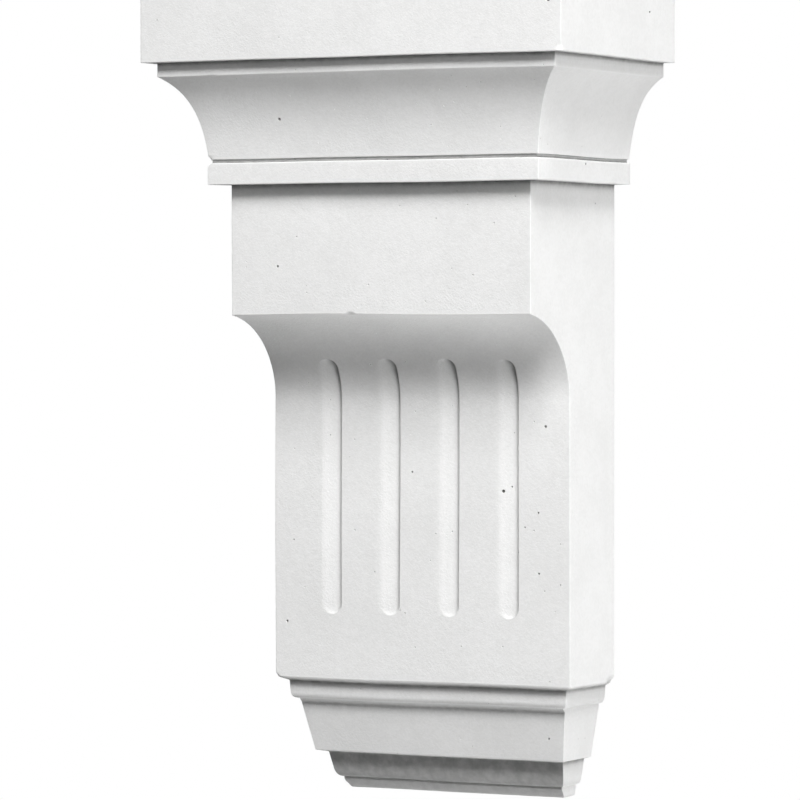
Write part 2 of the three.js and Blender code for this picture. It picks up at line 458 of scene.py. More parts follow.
class Flutes:
    """Where the flutes lie, in distances across the face and down its outline."""

    def __init__(self, levels, shaft, distance_at, begun):
        self.half = shaft.flute_width / 2
        self.depth, self.arris = shaft.flute_depth, shaft.flute_arris
        self.fullness, self.tilt = shaft.flute_fullness, shaft.flute_tilt
        self.pitch = 2 * levels.block_half / (shaft.flute_count + 1)
        self.centres = self.pitch * np.arange(1, shaft.flute_count + 1) - levels.block_half
        self.head = begun + distance_at(levels.block_foot - shaft.flute_head - self.half)
        self.foot = begun + distance_at(levels.shaft_foot + shaft.flute_foot + self.half)
        crowding, lip = 1.8, 0.21
        inner = 1 - (1 - np.linspace(0, 1, 9)) ** crowding
        outer = 1 + lip * np.linspace(0, 1, 6)[1:] ** crowding
        self.cuts = self.half * np.concatenate([inner, outer])

    def shares(self, across, down):
        """The share of the way to the nearest flute's side edge, from -1 to 1, and to its edge all round, with
        ends as round as the flute is wide."""
        nearest = np.abs(across[..., None] - self.centres).argmin(axis=-1)
        aside = (across - self.centres[nearest]) / self.half
        past = np.maximum(np.maximum(self.head - down, down - self.foot), 0.0)
        return aside, np.hypot(aside, past / self.half)

    def sunk(self, across, down):
        """Depth below the face: a trough with round shoulders, one less a power of the share of the way to its
        edge, times a ramp that grows from left to right. The edge is eased over the arris softness."""
        aside, share = self.shares(across, down)
        ramp = 1 - self.tilt * (1 - np.clip(aside, -1.0, 1.0)) / 2
        cut = self.depth * ramp * (1 - np.minimum(share, 1.6) ** self.fullness)
        eased = np.maximum(self.arris - np.abs(cut), 0.0) ** 2 / (4 * self.arris)
        return np.maximum(cut, 0.0) + eased

    def painted_head_shade(self, across, down):
        """Painted shade in the right half of the flutes' heads, where their right walls lie in shadow: a bell
        of the share of the way to the edge, wide at the tip and soon narrow, which fades to the left, and again
        down the flute."""
        aside, share = self.shares(across, down)
        below = np.maximum(down - self.head, 0.0)
        edge, outer, tip, length, strength = 0.9, 0.12, 0.005, 0.015, 0.95
        inner = 0.15 + 0.4 * bell(below, tip)
        wedge = bell(share - edge, np.where(share < edge, inner, outer)) * np.clip(1.5 * aside + 0.2, 0.0, 1.0)
        return strength * wedge * bell(below, length)

    def round_ends(self, across, down):
        """Turns the square rings of the grid past each end into circles: a point moves along its own ray from
        the ball's centre until its distance equals its ring's, and further out this fades away."""
        full = self.cuts[-1]
        none = self.pitch / 3
        for centre in self.centres:
            for place, way in ((self.head, -1.0), (self.foot, 1.0)):
                aside = across - centre
                past = (down - place) * way
                ring = np.maximum(np.abs(aside), past)
                ray = np.hypot(aside, past)
                fade = np.clip((none - ring) / (none - full), 0.0, 1.0)
                fade = fade * fade * (3 - 2 * fade)
                near = (past > 0) & (ray > 0)
                pull = np.where(near, 1 + fade * (ring / np.maximum(ray, 1e-9) - 1), 1.0)
                across = centre + aside * pull
                down = place + past * pull * way
        return across, down


# The plan, walked round once

class Plan:
    """Columns round the plan. A column's place is a share of the half width plus an offset, and a share of the
    way from the back edge to the face plus an offset, so that each row can have a plan of its own size. The
    walk starts at the face's left end, and its distance along the face is the column's X on the block. It goes
    down the right side, along the back and up the left side, which mirrors the right one."""

    def __init__(self, levels, flutes, casting):
        self.corner = casting.corner_round
        self.back = casting.back_round
        self.flat = levels.block_half - self.corner
        self.side_start = self.flat + 2 * self.corner
        self.side_reach = levels.block_depth - self.corner - self.back
        face = self.face_columns(flutes)
        across = face / self.flat
        right = self.right_columns()
        turned = right[-1, 0]
        along = np.linspace(0, 1, 17)[1:]
        rear = turned + 2 * self.flat * along
        self.total = rear[-1] + turned - self.flat
        left = right[-2::-1] * [-1, -1, -1, 1, 1] + [self.total + self.flat, 0, 0, 0, 0]
        table = np.concatenate([
            self.columns(face, across, -across * self.corner, 1.0, 0.0),
            right,
            self.columns(rear, 1 - 2 * along, (2 * along - 1) * self.back, 0.0, 0.0),
            left,
        ])
        self.walk, self.width_share, self.width_offset, self.depth_share, self.depth_offset = table.T

    @staticmethod
    def columns(walk, *values):
        """A row of walk, width share and offset, depth share and offset for each place of the walk."""
        return np.stack([walk, *(np.broadcast_to(value, walk.shape) for value in values)], axis=1)

    def face_columns(self, flutes):
        """X of the face's columns: close cuts about each flute, even cells between, crowding to the ends."""
        near = np.concatenate([-flutes.cuts[:0:-1], flutes.cuts])
        last = flutes.cuts[-1]
        between = last + (flutes.pitch - 2 * last) * np.linspace(0, 1, 11)[1:-1]
        end = flutes.centres[-1] + last
        margin = end + (self.flat - end) * graded(13, 0.75)[1:]
        columns = [-margin[::-1]]
        for centre in flutes.centres[:-1]:
            columns += [centre + near, centre + between]
        return np.concatenate([*columns, flutes.centres[-1] + near, margin])

    def right_columns(self):
        """The front corner, the side and the back corner. A corner is a quarter turn, and on the side the
        offset goes evenly from the one corner's rounding to the other's."""
        front = np.linspace(0, np.pi / 2, 7)[1:]
        side = graded(22, 0.75)[1:]
        rear = np.linspace(0, np.pi / 2, 4)[1:]
        rear_start = self.side_start + self.side_reach
        quarter = 2 / (np.pi / 2)
        side_offset = -self.corner * (1 - side) + self.back * side
        return np.concatenate([
            self.columns(
                self.flat + quarter * self.corner * front, 1.0, self.corner * (np.sin(front) - 1),
                1.0, self.corner * (np.cos(front) - 1),
            ),
            self.columns(self.side_start + self.side_reach * side, 1.0, 0.0, 1 - side, side_offset),
            self.columns(
                rear_start + quarter * self.back * rear, 1.0, self.back * (np.cos(rear) - 1),
                0.0, self.back * (1 - np.sin(rear)),
            ),
        ])


class Surface:
    """The casting's surface as a function of the walk round the plan and the distance down the outline."""

    back_stretch = 0.014
    # The lip: a share of the painted highlight along the flutes' edges
    lip_depth = 0.0001
    lip_spread = 0.00025
    lip_share = 0.1

    def __init__(self, plan, flutes, outline_rows, cap_reach):
        self.plan = plan
        self.flutes = flutes
        self.distances, self.points, self.arris, self.hollow = outline_rows
        fall = np.gradient(self.points[:, 1], self.distances)
        drop = np.gradient(self.points[:, 3], self.distances)
        size = np.maximum(np.hypot(fall, drop), 1e-9)
        self.out_depth = -drop / size
        self.out_level = fall / size
        self.back_level = self.falling_level(*cap_reach)

    def falling_level(self, first, last):
        """The level of the back's inner columns: the outline's level averaged over a short stretch, so that it
        keeps falling past the cap's flat undersides, and no cell there is left without an area."""
        step = 0.0002
        even = np.arange(self.distances[0], self.distances[-1], step)
        window = np.hanning(self.back_stretch / step)
        smooth = np.convolve(self.along(self.points[:, 3], even), window / window.sum(), "same")
        inside = (self.distances - first) * (last - self.distances)
        return np.where(inside > 0, np.interp(self.distances, even, smooth), self.points[:, 3])

    def along(self, values, down):
        """The rows' values at distances down the outline."""
        return np.interp(down, self.distances, values)

    def place(self, walk, down, sunk=0.0):
        """Half width, depth, setback and level come from the outline, the shares of them from the plan. What
        is sunk goes in along the outline's normal on the face, and straight in on a side."""
        half, depth, setback, level = (self.along(values, down) for values in self.points.T)
        plan = self.plan
        share_x, offset_x, share_y, offset_y = (
            np.interp(walk, plan.walk, values)
            for values in (plan.width_share, plan.width_offset, plan.depth_share, plan.depth_offset)
        )
        on_face = np.abs(walk) < plan.flat
        on_side = ~on_face & (np.abs(share_x) == 1.0) & (share_y > 0) & (share_y < 1)
        on_back = (share_y == 0) & (np.abs(share_x) < 1)
        level = np.where(on_back, self.along(self.back_level, down), level)
        cut = np.where(on_face, self.flutes.sunk(walk, down) + sunk, 0.0)
        x = share_x * half + offset_x - np.where(on_side, sunk, 0.0) * share_x
        y = -(share_y * depth + (1 - share_y) * setback + offset_y) + cut * self.along(self.out_depth, down)
        z = level - cut * self.along(self.out_level, down)
        return np.stack([x, y, z], axis=-1)

    def masks(self, walk, down):
        """How near a point is to an outer arris and to an inner corner, both from 0 to 1: the masks of the
        painted highlight and the painted shade. The flutes' edges join the first, and the painted shade at
        their heads joins the second.
        """
        beside = np.abs(walk) > self.plan.flat + self.plan.corner
        arris, hollow = (
            np.where(beside, self.along(sides, down), self.along(face, down))
            for face, sides in (self.arris, self.hollow)
        )
        on_face = np.abs(walk) < self.plan.flat
        sunk = np.where(on_face, self.flutes.sunk(walk, down), 0.0)
        # The flutes' edges take a share of the painted highlight, and the flutes' heads get painted shade
        lip = bell(sunk - self.lip_depth, self.lip_spread) * (sunk > 0)
        dust = on_face * self.flutes.painted_head_shade(walk, down)
        return np.maximum(arris, self.lip_share * lip), np.maximum(hollow, dust)


# Small faults. A pinhole: its place across, or back from the wall, its height and its share of the largest

PINHOLES = {
    "face": (
        (0.0533, -0.0104, 0.9), (0.0354, -0.0349, 1.0), (0.0388, -0.0332, 0.6), (0.0503, -0.0427, 0.7),
        (0.0446, -0.0483, 0.6), (0.0505, -0.0656, 0.7), (-0.0037, -0.0281, 0.7), (-0.0284, -0.0508, 0.5),
        (-0.0552, -0.0552, 0.6), (-0.0583, -0.0866, 0.8), (0.0487, -0.1285, 0.8), (-0.0434, 0.0495, 0.8),
        (-0.0378, 0.1050, 0.9), (0.0835, 0.1448, 0.8),
    ),
    "right": (
        (0.0381, 0.0877, 0.8), (0.0163, 0.0734, 0.6), (0.0218, 0.1444, 0.8),
    ),
    "left": (
        (0.0420, 0.0150, 0.8), (0.0250, -0.0610, 0.6), (0.0500, 0.1380, 0.7),
    ),
}

# A knock: its middle, the way it faces, its radius and its depth
KNOCKS = (
    ((0.0884, -0.0962, 0.1281), (0.5, -0.8, -0.3), 0.0016, 0.0007),
    ((-0.0606, -0.0914, 0.1213), (0.0, -0.7, -0.7), 0.0014, 0.0005),
    ((-0.0121, -0.0709, 0.0314), (0.0, -0.6, -0.8), 0.0022, 0.0006),
    ((-0.0701, -0.0776, 0.0888), (-0.6, -0.5, 0.6), 0.0030, 0.0008),
    ((-0.0635, -0.0380, -0.1080), (-0.6, -0.5, -0.6), 0.0040, 0.0011),
    ((0.0507, -0.0152, -0.1470), (0.6, -0.5, -0.6), 0.0022, 0.0007),
    ((-0.0468, -0.0096, -0.1520), (-0.5, -0.5, -0.7), 0.0030, 0.0008),
    ((0.0635, -0.0380, -0.1080), (0.6, -0.6, -0.5), 0.0020, 0.0005),
    ((0.0635, -0.0020, -0.1078), (0.7, 0.0, -0.7), 0.0040, 0.0016),
)

# How many radii the cells round a pinhole reach, and its rings: each one's share of the radius, its share of
# the depth and how much it keeps of the cells' own angles
PINHOLE_MARGIN = 2.2
PINHOLE_RINGS = np.array([
    (1.9, 0.0, 0.5),
    (1.25, 0.0, 0.2),
    (1.02, 0.06, 0.0),
    (0.9, 0.4, 0.0),
    (0.72, 0.8, 0.0),
    (0.4, 0.97, 0.0),
])


def ring_faces(rings, middle):
    """Quads between each two rings of points, and triangles from the last ring to the middle point."""
    after = np.roll(rings, -1, axis=1)
    quads = np.stack([rings[:-1], after[:-1], after[1:], rings[1:]], axis=-1).reshape(-1, 4)
    return quads, np.stack([rings[-1], after[-1], np.full(rings.shape[1], middle)], axis=-1)


def walk_and_distance(surface, side, place, level):
    """A pinhole's middle on the surface, from its place across, or back from the wall, and its height."""
    plan = surface.plan
    distance = float(np.interp(-level, -surface.points[:, 3], surface.distances))
    half, depth = (surface.along(surface.points[:, k], distance) for k in (0, 1))
    if side == "face":
        return place * plan.flat / (half - plan.corner), distance
    back = (depth - plan.corner - place) / (depth - plan.corner - plan.back) * plan.side_reach
    if side == "right":
        return plan.side_start + back, distance
    return plan.total - 2 * plan.corner - back, distance


def drill_pinholes(surface, across, down, casting):
    """Opens each pinhole: the cells round it go, and rings of points take their place, from the cells' rim over
    the round lip down the hole's wall to a point at its bottom. Returns the cells that go and the new points,
    as walk, distance and depth, with faces that count from the grid's first point."""
    rows, columns = across.shape
    grid = np.arange(rows * columns).reshape(rows, columns)
    gone = np.zeros((rows - 1, columns), bool)
    radii, depths, keep = PINHOLE_RINGS.T[..., None]
    added, quads, triangles = [], [], []
    begun = grid.size
    for side, place, level, share in ((side, *hole) for side, holes in PINHOLES.items() for hole in holes):
        radius = share * casting.pinhole_width / 2
        depth = share * casting.pinhole_depth
        walk, distance = walk_and_distance(surface, side, place, level)
        margin = PINHOLE_MARGIN * radius
        row_line = down[:, 0] if side != "face" else down[:, np.argmin(np.abs(surface.plan.walk - walk))]
        top = np.searchsorted(row_line, distance - margin) - 1
        low = np.searchsorted(row_line, distance + margin)
        left = np.searchsorted(surface.plan.walk, walk - margin) - 1
        right = np.searchsorted(surface.plan.walk, walk + margin)
        if gone[top:low, left:right].any():
            raise RuntimeError(f"two pinholes share cells near {place:.4f}, {level:.4f}")
        gone[top:low, left:right] = True
        rim = np.concatenate([
            grid[top:low, left], grid[low, left:right], grid[low:top:-1, right], grid[top, right:left:-1],
        ])
        turn = np.arctan2(down.flat[rim] - distance, across.flat[rim] - walk)
        size = len(rim)
        even = turn[0] - 2 * np.pi * np.arange(size) / size
        even = even + np.angle(np.exp(1j * (turn - even)).mean())
        ray = even + keep * np.angle(np.exp(1j * (turn - even)))
        ring_points = np.stack([
            walk + radius * radii * np.cos(ray),
            distance + radius * radii * np.sin(ray),
            depth * depths + 0 * ray,
        ], axis=-1)
        added += [ring_points.reshape(-1, 3), [[walk, distance, depth]]]
        middle = begun + ray.size
        rings = np.concatenate([rim[None], np.arange(begun, middle).reshape(ray.shape)])
        for faces, more in zip((quads, triangles), ring_faces(rings, middle)):
            faces.append(more)
        begun = middle + 1
    return gone, np.concatenate(added).T, np.concatenate(quads), np.concatenate(triangles)


def knock(points, marks):
    """Pares each knock: within its radius, what stands past a plane set under its middle goes back to it. The
    plane's depth falls off as one less the square of the distance over the radius."""
    for middle, facing, radius, depth in marks:
        out = np.array(facing) / np.linalg.norm(facing)
        from_middle = points - np.array(middle)
        bite = depth * (1 - (from_middle**2).sum(axis=1) / radius**2)
        past = from_middle @ out + bite
        points = points - np.where((bite > 0) & (past > 0), past, 0.0)[:, None] * out
    return points


def swell(points, amount):
    """Wanders the surface a little from true: for each axis a sum of slow sine waves that run in seeded
    directions. It fades to nothing at the wall, and the result stays inside the frame's box."""
    draw = np.random.default_rng(11)
    waves, shortest, longest, edge_fade, wall_fade = 7, 0.035, 0.12, 0.003, 0.012
    ways = draw.normal(size=(waves, 3))
    ways /= np.linalg.norm(ways, axis=1)[:, None]
    reaches = draw.uniform(shortest, longest, waves)
    starts = draw.uniform(0, 2 * np.pi, waves)
    pushes = draw.normal(size=(waves, 3)) * (reaches / reaches.mean())[:, None]
    moved = np.sin(2 * np.pi * (points @ ways.T) / reaches + starts) @ pushes
    moved *= amount / moved.std()
    low, high = np.array(cad_low), np.array(cad_high)
    room = np.where(moved > 0, high - points, points - low)
    moved *= np.clip(room / edge_fade, 0.0, 1.0) * np.clip(-points[:, 1:2] / wall_fade, 0.0, 1.0)
    return np.clip(points + moved, low, high)


def close_ends(points, grid, begun):
    """Closes the top and the bottom: smaller and smaller copies of the last row about its middle, and a point
    at the middle. Returns new points, quads and triangles."""
    shares = np.array([0.985, 0.9, 0.7, 0.45, 0.2])
    new_points, quads, triangles = [], [], []
    for edge, facing in ((grid[0], 1), (grid[-1], -1)):
        ring = points[edge]
        middle = (ring.min(axis=0) + ring.max(axis=0)) / 2
        new_points += [(middle + shares[:, None, None] * (ring - middle)).reshape(-1, 3), middle[None]]
        last = begun + shares.size * edge.size
        rings = np.concatenate([edge[None], np.arange(begun, last).reshape(-1, edge.size)])
        for faces, more in zip((quads, triangles), ring_faces(rings, last)):
            faces.append(more[:, ::facing])
        begun = last + 1
    return np.concatenate(new_points), np.concatenate(quads), np.concatenate(triangles)


def shape_casting(scene):
    """The whole surface as points, quads, triangles and two masks."""
    cap, shaft, foot, casting = scene.corbel_cap, scene.corbel_shaft, scene.corbel_foot, scene.corbel_casting
    levels = Levels(cap, shaft)
    inset, stretch, pinhole_shade_depth = 0.003, 0.012, 0.0003
    outline = Outline(levels.out(cap.abacus_projection - inset, levels.top, inset))
    draw_cap(outline, levels, cap, casting)
    throat_head = station(0.0, shaft.throat_setback, 0.0, shaft.throat_fall)
    outline.line_to(levels.out(0.0, levels.block_foot) - throat_head, 3, casting.arris_round)
    begun = sum(run["reach"] for run in outline.runs)
    cap_reach = (outline.runs[0]["reach"] + stretch, begun + stretch)
    path, distance_at = throat_and_shaft(levels, shaft)
    flutes = Flutes(levels, shaft, distance_at, begun)
    head, fall = flutes.head - begun, flutes.foot - begun
    ends = flutes.cuts[1:]
    tips_end = fall + ends[-1]
    outline.add(path, None, casting.hollow_round, np.concatenate([
        np.linspace(0, head - ends[-1], 14)[:-1],
        head - ends[::-1],
        head + (fall - head) * graded(62, 0.45),
        fall + ends,
        tips_end + (reach_of(path) - tips_end) * graded(20, 0.6)[1:],
    ]))
    draw_foot(outline, levels, foot, casting)

    plan = Plan(levels, flutes, casting)
    surface = Surface(plan, flutes, outline.rows(), cap_reach)
    across, down = np.meshgrid(plan.walk, surface.distances)
    face = np.abs(plan.walk) < plan.flat
    across[:, face], down[:, face] = flutes.round_ends(across[:, face], down[:, face])

    gone, extra, hole_quads, hole_triangles = drill_pinholes(surface, across, down, casting)
    walk, distance, sunk = (
        np.concatenate([whole.ravel(), more]) for whole, more in zip((across, down, 0 * across), extra)
    )
    points = surface.place(walk, distance, sunk)
    arris, hollow = surface.masks(walk, distance)
    # Pinholes are painted dark inside, as painted shade, through the hollow mask
    hollow = np.maximum(hollow, np.clip(sunk / pinhole_shade_depth, 0, 1))

    grid = np.arange(across.size).reshape(across.shape)
    beside = np.roll(grid, -1, axis=1)
    quads = np.stack([grid[:-1], grid[1:], beside[1:], beside[:-1]], axis=-1)[~gone]
    end_points, end_quads, end_triangles = close_ends(points, grid, len(points))
    points = np.concatenate([points, end_points])
    masks = np.concatenate([[arris, hollow], np.zeros((2, len(end_points)))], axis=1)
    quads = np.concatenate([quads, hole_quads, end_quads])
    triangles = np.concatenate([hole_triangles, end_triangles])
    points = swell(knock(points, KNOCKS), casting.swell)

    used = np.zeros(len(points), bool)
    used[quads] = True
    used[triangles] = True
    fresh = np.cumsum(used) - 1
    return points[used], fresh[quads], fresh[triangles], masks[:, used]


# Node groups and materials

class Nodes:
    """Makes and links the nodes of one tree. An input is given as a socket or as a plain value."""

    def __init__(self, tree):
        self.tree = tree

    def feed(self, socket, value):
        """Links a socket to the input, or sets the input's value."""
        if isinstance(value, bpy.types.NodeSocket):
            self.tree.links.new(value, socket)
        else:
            socket.default_value = value

    def add(self, kind, inputs, **choices):
        """A shader node with its choices made and its inputs fed. Returns its outputs."""
        node = self.tree.nodes.new("ShaderNode" + kind)
        for name, value in choices.items():
            setattr(node, name, value)
        for key, value in inputs.items():
            self.feed(node.inputs[key], value)
        return node.outputs

    def math(self, operation, first, second):
        """The result of a sum on two inputs."""
        return self.add("Math", {0: first, 1: second}, operation=operation)[0]

    def mix(self, share, first, second):
        """A colour between two, by the share of the second."""
        return self.add("Mix", {0: share, 6: first, 7: second}, data_type="RGBA")[2]

    def span(self, value, low, high, to_low=0.0, to_high=1.0):
        """A smooth step from one span of values to another."""
        ends = {"Value": value, "From Min": low, "From Max": high, "To Min": to_low, "To Max": to_high}
        return self.add("MapRange", ends, interpolation_type="SMOOTHSTEP")["Result"]

    def noise(self, place, size, *layers):
        """A sum of noises. A layer is how much finer than the size it is, its detail, roughness and weight."""
        scale = self.math("DIVIDE", 1.0, size)
        total = 0.0
        for finer, detail, roughness, weight in layers:
            finer_scale = self.math("MULTIPLY", scale, finer)
            look = {"Vector": place, "Scale": finer_scale, "Detail": detail, "Roughness": roughness}
            total = self.math("ADD", self.math("MULTIPLY", self.add("TexNoise", look)["Fac"], weight), total)
        return total

    def group(self, name, *values):
        """A shared group with its inputs in their order. Returns its outputs."""
        return self.add("Group", dict(enumerate(values)), node_tree=shared_group(name))

    def relief(self, shader, height, strength, depth):
        """Bumps the shader's normal by a height."""
        bump = self.add("Bump", {"Strength": strength, "Distance": depth, "Height": height})
        self.feed(shader["Normal"], bump["Normal"])


def fine_grain(nodes, place, size):
    """Height: noise at the grain's size, finer noise and slow swelling, added by weight."""
    return (nodes.noise(place, size, (1.0, 2.0, 0.6, 1.0), (3.1, 1.0, 0.5, 0.5), (0.17, 2.0, 0.5, 1.1)),)


def cloudy_mottle(nodes, place, size, pale, deep):
    """Two colours mixed by noise at the patch size, a seventh and a twentieth as large, and the share of it."""
    total = nodes.noise(place, size, (1.0, 3.0, 0.6, 0.4), (7.0, 3.0, 0.65, 0.2), (20.0, 2.0, 0.6, 0.4))
    share = nodes.span(total, 0.36, 0.64)
    return nodes.mix(share, deep, pale), share


def open_pores(nodes, place, spacing, kept):
    """Pits at the middles of scattered cells, in the share of the cells that is kept."""
    cells = nodes.add("TexVoronoi", {"Vector": place, "Scale": nodes.math("DIVIDE", 1.0, spacing)})
    own_value = nodes.add("SeparateColor", {"Color": cells["Color"]})[0]
    pit = nodes.span(cells["Distance"], 0.05, 0.16, 1.0, 0.0)
    return (nodes.math("MULTIPLY", pit, nodes.math("LESS_THAN", own_value, kept)),)


def paint_highlight_and_shade(nodes, place, arris, hollow, size):
    """A painted highlight on the arrises and painted shade in the hollows: each mask broken up by noise."""
    broken = nodes.noise(place, size, (1.0, 3.0, 0.6, 1.0))
    rubbed = nodes.math("MULTIPLY", arris, nodes.span(broken, 0.35, 0.6, 0.6, 1.0))
    return rubbed, nodes.math("MULTIPLY", hollow, nodes.span(broken, 0.3, 0.7, 0.75, 1.0))


# A group's maker, its inputs and its outputs, and the sockets that aren't plain numbers
GROUPS = {
    "Fine grain": (fine_grain, ("Place", "Size"), ("Height",)),
    "Cloudy mottle": (cloudy_mottle, ("Place", "Size", "Pale", "Deep"), ("Colour", "Share")),
    "Open pores": (open_pores, ("Place", "Spacing", "Kept"), ("Pit",)),
    "Rub and dust": (paint_highlight_and_shade, ("Place", "Arris", "Hollow", "Size"), ("Rubbed", "Dust")),
}
SOCKETS = {"Place": "Vector", "Pale": "Color", "Deep": "Color", "Colour": "Color"}


def shared_group(name):
    """The named group, built the first time that a material asks for it."""
    if name in bpy.data.node_groups:
        return bpy.data.node_groups[name]
    maker, inputs, outputs = GROUPS[name]
    tree = bpy.data.node_groups.new(name, "ShaderNodeTree")
    for way, labels in (("INPUT", inputs), ("OUTPUT", outputs)):
        for label in labels:
            tree.interface.new_socket(label, in_out=way, socket_type="NodeSocket" + SOCKETS.get(label, "Float"))
    given = tree.nodes.new("NodeGroupInput").outputs
    result = tree.nodes.new("NodeGroupOutput").inputs
    made = maker(Nodes(tree), *(given[label] for label in inputs))
    for label, value in zip(outputs, made):
        tree.links.new(value, result[label])
    return tree


def opaque(rgb):
    """A colour with full alpha."""
    return (*rgb, 1.0)


def new_material(name):
    """A material, its nodes, its shader's inputs and the place on the object."""
    material = bpy.data.materials.new(name)
    material.use_nodes = True
    nodes = Nodes(material.node_tree)
    shader = material.node_tree.nodes["Principled BSDF"].inputs
    return material, nodes, shader, nodes.add("TexCoord", {})["Object"]


def plaster_material(name, finish, roughness, grain_size, grain_depth, kept_pores):
    """Plaster: mottled colour, a painted highlight on the arrises, painted shade in the hollows, pores and
    pinholes, grain and pores as relief.
    """
    material, nodes, shader, place = new_material(name)
    arris, hollow = (nodes.add("Attribute", {}, attribute_name=mask)["Fac"] for mask in ("arris", "hollow"))
    pale, deep, shade_colour, highlight_colour = (opaque(rgb) for rgb in (finish.pale, finish.deep, finish.dust, finish.rubbed))
    colour, share = nodes.group("Cloudy mottle", place, finish.mottle_size, pale, deep)
    rubbed, dust = nodes.group("Rub and dust", place, arris, hollow, finish.wear_size)
    # The pores are pits in the relief, and are also painted darker with the shade colour, as painted shade
    pit = nodes.group("Open pores", place, finish.pore_size, kept_pores)["Pit"]
    # Painted highlight: the lighter colour along the arrises and the flutes' edges
    colour = nodes.mix(rubbed, colour, highlight_colour)
    # Painted shade at the bottom of the pinholes
    inside_pinhole = nodes.math("GREATER_THAN", hollow, 0.97)
    # Painted shade: the dark colour mixed in at inner corners and under ledges, at the flutes' heads, in the
    # pores and in the pinholes
    for mask, strength in ((dust, 0.9), (pit, 0.4), (inside_pinhole, 0.6)):
        colour = nodes.mix(nodes.math("MULTIPLY", mask, strength), colour, shade_colour)
    nodes.feed(shader["Base Color"], colour)
    variation, polish, pit_depth = 0.04, -0.12, 4.0
    matt = nodes.span(share, 0.0, 1.0, roughness + variation, roughness - variation)
    nodes.feed(shader["Roughness"], nodes.math("ADD", matt, nodes.math("MULTIPLY", rubbed, polish)))
    shader["Specular IOR Level"].default_value = 0.35
    grain = nodes.group("Fine grain", place, grain_size)["Height"]
    height = nodes.math("SUBTRACT", grain, nodes.math("MULTIPLY", pit, pit_depth))
    nodes.relief(shader, height, 1.0, grain_depth)
    return material


def floor_material(studio):
    """A pale matt floor with a faint mottle and grain."""
    material, nodes, shader, place = new_material("pale_floor")
    colours_given = (opaque(studio.floor_pale), opaque(studio.floor_deep))
    colour = nodes.group("Cloudy mottle", place, 0.6, *colours_given)["Colour"]
    nodes.relief(shader, nodes.group("Fine grain", place, 0.01)["Height"], 0.4, 0.0005)
    nodes.feed(shader["Base Color"], colour)
    nodes.feed(shader["Emission Color"], colour)
    shader["Emission Strength"].default_value = studio.floor_glow
    shader["Roughness"].default_value = 0.8
    return material


# Pieces, lights and camera

def new_piece(name, points, quads, triangles):
    """An object at the origin whose mesh has the points and faces."""
    mesh = bpy.data.meshes.new(name)
    mesh.from_pydata(points.tolist(), [], quads.tolist() + triangles.tolist())
    mesh.polygons.foreach_set("use_smooth", np.ones(len(mesh.polygons), bool))
    mesh.update()
    piece = bpy.data.objects.new(name, mesh)
    bpy.context.scene.collection.objects.link(piece)
    return piece


def enclosed_volume(points, quads, triangles):
    """The volume inside closed faces: a sixth of the sum of the triple products of their corners."""
    corners = np.concatenate([quads[:, [0, 1, 2]], quads[:, [0, 2, 3]], triangles])
    first, second, third = (points[corners[:, k]] for k in range(3))
    return float((first * np.cross(second, third)).sum() / 6)


def open_edges(quads, triangles):
    """How many edges don't join exactly two faces that pass them in opposite directions."""
    pairs = [quads[:, [k, (k + 1) % 4]] for k in range(4)] + [triangles[:, [k, (k + 1) % 3]] for k in range(3)]
    edges = np.concatenate(pairs).astype(np.int64)
    span = edges.max() + 1
    forward = np.sort(edges[:, 0] * span + edges[:, 1])
    backward = np.sort(edges[:, 1] * span + edges[:, 0])
    return int((forward != backward).sum() + (np.diff(forward) == 0).sum())


class CORBEL_OT_camera(bpy.types.Operator):
    """Places the camera to the right of the face, a little above the corbel's middle"""

    bl_idname = "corbel.camera"
    bl_label = "Place the camera"

    def execute(self, context):
        studio = context.scene.corbel_studio
        turn = studio.camera_turn
        right = Vector((math.cos(turn), math.sin(turn), 0.0))
        back = Vector((math.sin(turn), -math.cos(turn), 0.0))
        lens = bpy.data.cameras.new("studio_camera")
        lens.lens = studio.camera_lens
        lens.sensor_width = 36.0
        lens.clip_start = 0.05
        lens.clip_end = 50.0
        camera = bpy.data.objects.new("studio_camera", lens)
        camera.location = right * studio.camera_slide + back * studio.camera_distance
        camera.location.z = studio.camera_height
        camera.rotation_euler = Euler((math.pi / 2 - studio.camera_fall, 0.0, turn))
        context.scene.collection.objects.link(camera)
        context.scene.camera = camera
        return {"FINISHED"}


class CORBEL_OT_casting(bpy.types.Operator):
    """Makes the casting, from the abacus down to the toe, with its flutes, pinholes and knocks"""

    bl_idname = "corbel.casting"
    bl_label = "Make the casting"

    def execute(self, context):
        points, quads, triangles, masks = shape_casting(context.scene)
        if open_edges(quads, triangles):
            raise RuntimeError(f"the casting has {open_edges(quads, triangles)} open edges")
        if enclosed_volume(points, quads, triangles) <= 0:
            raise RuntimeError("the casting's faces look inwards")
        piece = new_piece(PIECE_NAME, points, quads, triangles)
        for name, values in zip(("arris", "hollow"), masks):
            attribute = piece.data.attributes.new(name, "FLOAT", "POINT")
            attribute.data.foreach_set("value", values.astype(np.float32))
        finish = context.scene.corbel_finish
        for name, roughness, coarser, deeper, kept_pores in (
            ("cast_plaster", finish.roughness, 1, 1, 0.05),
            ("screeded_plaster", finish.back_roughness, 3, 3.5, 0.35),
        ):
            grain = (coarser * finish.grain_size, deeper * finish.grain_depth)
            piece.data.materials.append(plaster_material(name, finish, roughness, *grain, kept_pores))
        at_wall = points[:, 1] > -1e-5
        on_back = np.concatenate([at_wall[quads].all(axis=1), at_wall[triangles].all(axis=1)])
        piece.data.polygons.foreach_set("material_index", on_back.astype(np.int32))
        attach(piece, "root")
        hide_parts("corbel")
        return {"FINISHED"}


class CORBEL_OT_stage(bpy.types.Operator):
    """Lays the pale floor and sets up the soft lights and the white room"""

    bl_idname = "corbel.stage"
    bl_label = "Make the stage"

    def execute(self, context):
        studio = context.scene.corbel_studio
        lay_floor(studio)
        for lamp in LAMPS:
            soft_lamp(*lamp, studio.lamp_strength)
        white_room(context.scene, studio)
        context.scene.view_settings.view_transform = "Standard"
        return {"FINISHED"}


